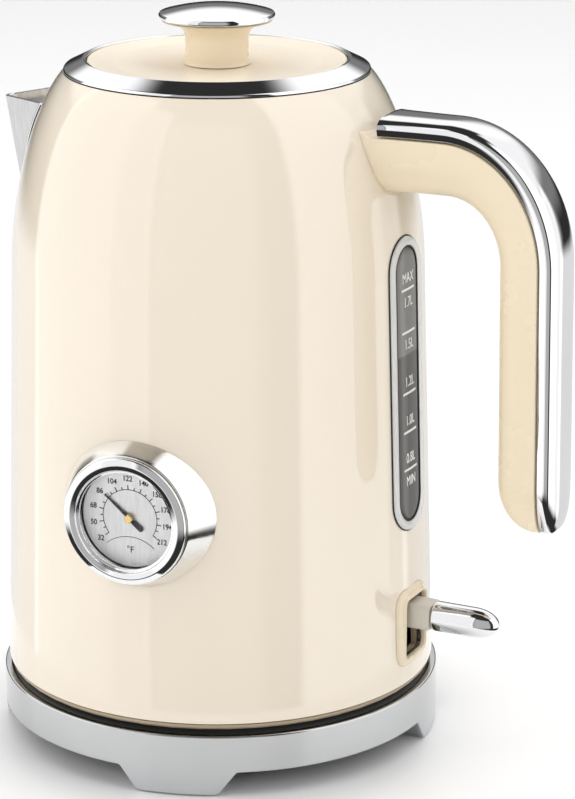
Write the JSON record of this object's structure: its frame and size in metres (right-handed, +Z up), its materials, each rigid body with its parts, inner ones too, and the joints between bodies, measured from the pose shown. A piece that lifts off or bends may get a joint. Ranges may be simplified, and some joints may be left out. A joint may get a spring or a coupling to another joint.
{
  "type": "electric kettle",
  "caption": "Retro cordless electric kettle: tapered enamelled jug with a pointed spout, lift-off lid, arched handle, side thermometer, water window and switch lever on a round power base.",
  "frame": {"origin": "middle of the whole object's bounding box, on the surface that it stands on", "axes": "+Z up, +X towards the handle and -X towards the spout; the thermometer faces near -Y"},
  "size_m": [0.2058, 0.1534, 0.2446],
  "materials": {
    "cream_enamel": "glossy enamel on steel sheet",
    "cream_plastic": "satin moulded plastic",
    "chrome": "polished chrome plating",
    "brushed_steel": "brushed stainless steel",
    "black_plastic": "moulded plastic",
    "grey_plastic": "moulded plastic",
    "pearl_plastic": "milky gloss plastic",
    "rubber": "soft rubber",
    "silicone": "translucent silicone",
    "brass": "bare brass",
    "clear_glass": "clear, polished",
    "dial_print": "printed metal disc"
  },
  "bodies": {
    "power_base": {"base_skirt": "chrome", "base_deck": "black_plastic", "base_floor_cover": "black_plastic", "base_socket": "black_plastic", "base_ring_contact": "brass", "base_centre_contact": "brass", "base_screw_1": "brushed_steel", "base_screw_2": "brushed_steel", "base_screw_3": "brushed_steel", "rubber_foot_1": "rubber", "rubber_foot_2": "rubber", "rubber_foot_3": "rubber", "rubber_foot_4": "rubber", "cord_gland": "rubber"},
    "jug_connector": {"jug_plug": "black_plastic", "jug_ring_pin": "brass", "jug_centre_pin": "brass"},
    "jug": {"body_shell": "cream_enamel", "base_housing": "cream_plastic", "lever_bezel": "cream_plastic", "handle_core": "cream_plastic", "handle_trim": "chrome", "gauge_housing": "chrome", "gauge_bezel": "chrome", "spout": "brushed_steel", "spout_filter": "brushed_steel", "heater_plate": "brushed_steel", "heating_element": "brushed_steel", "handle_bracket": "brushed_steel", "gauge_probe": "brushed_steel", "floor_screw_1": "brushed_steel", "floor_screw_2": "brushed_steel", "floor_screw_3": "brushed_steel", "handle_screw_1": "brushed_steel", "handle_screw_2": "brushed_steel", "control_body": "black_plastic", "switch_bracket": "black_plastic", "steam_tube": "grey_plastic", "window_retainer": "grey_plastic", "plate_seal": "silicone", "window_gasket": "silicone", "gauge_gasket": "silicone", "bimetal_disc": "brass", "gauge_nut": "brass", "window_lens": "clear_glass", "gauge_lens": "clear_glass", "gauge_dial": "dial_print"},
    "lid": {"lid_ring": "chrome", "lid_cap": "cream_enamel", "lid_plug": "grey_plastic", "lid_seal": "silicone", "knob_stem": "cream_plastic", "knob_cap": "chrome", "knob_screw": "brushed_steel"},
    "switch_lever": {"lever_arm": "pearl_plastic", "lever_knob": "chrome", "lever_pin": "brushed_steel"},
    "gauge_needle": {"gauge_pointer": "black_plastic", "gauge_hub": "brass"}
  },
  "joints": [
    {"name": "jug_lift", "type": "slide", "parent": "power_base", "child": "jug_connector", "axis": [0, 0, 1], "range_m": [0, 0.08]},
    {"name": "jug_swivel", "type": "hinge", "parent": "jug_connector", "child": "jug", "pos_m": [-0.0213, 0.00314, 0.0223], "axis": [0, 0, 1], "continuous": true},
    {"name": "lid_lift", "type": "slide", "parent": "jug", "child": "lid", "axis": [0, 0, 1], "range_m": [0, 0.06]},
    {"name": "lever_pivot", "type": "hinge", "parent": "jug", "child": "switch_lever", "pos_m": [0.0417, 0.00314, 0.0481], "axis": [0, 1, 0], "range_deg": [0, 18]},
    {"name": "gauge_pointer_turn", "type": "hinge", "parent": "jug", "child": "gauge_needle", "pos_m": [-0.01501, -0.06878, 0.093], "axis": [-0.0872, 0.9962, 0], "range_deg": [-78, 172], "stiffness_Nm_per_rad": 0.0005}
  ]
}
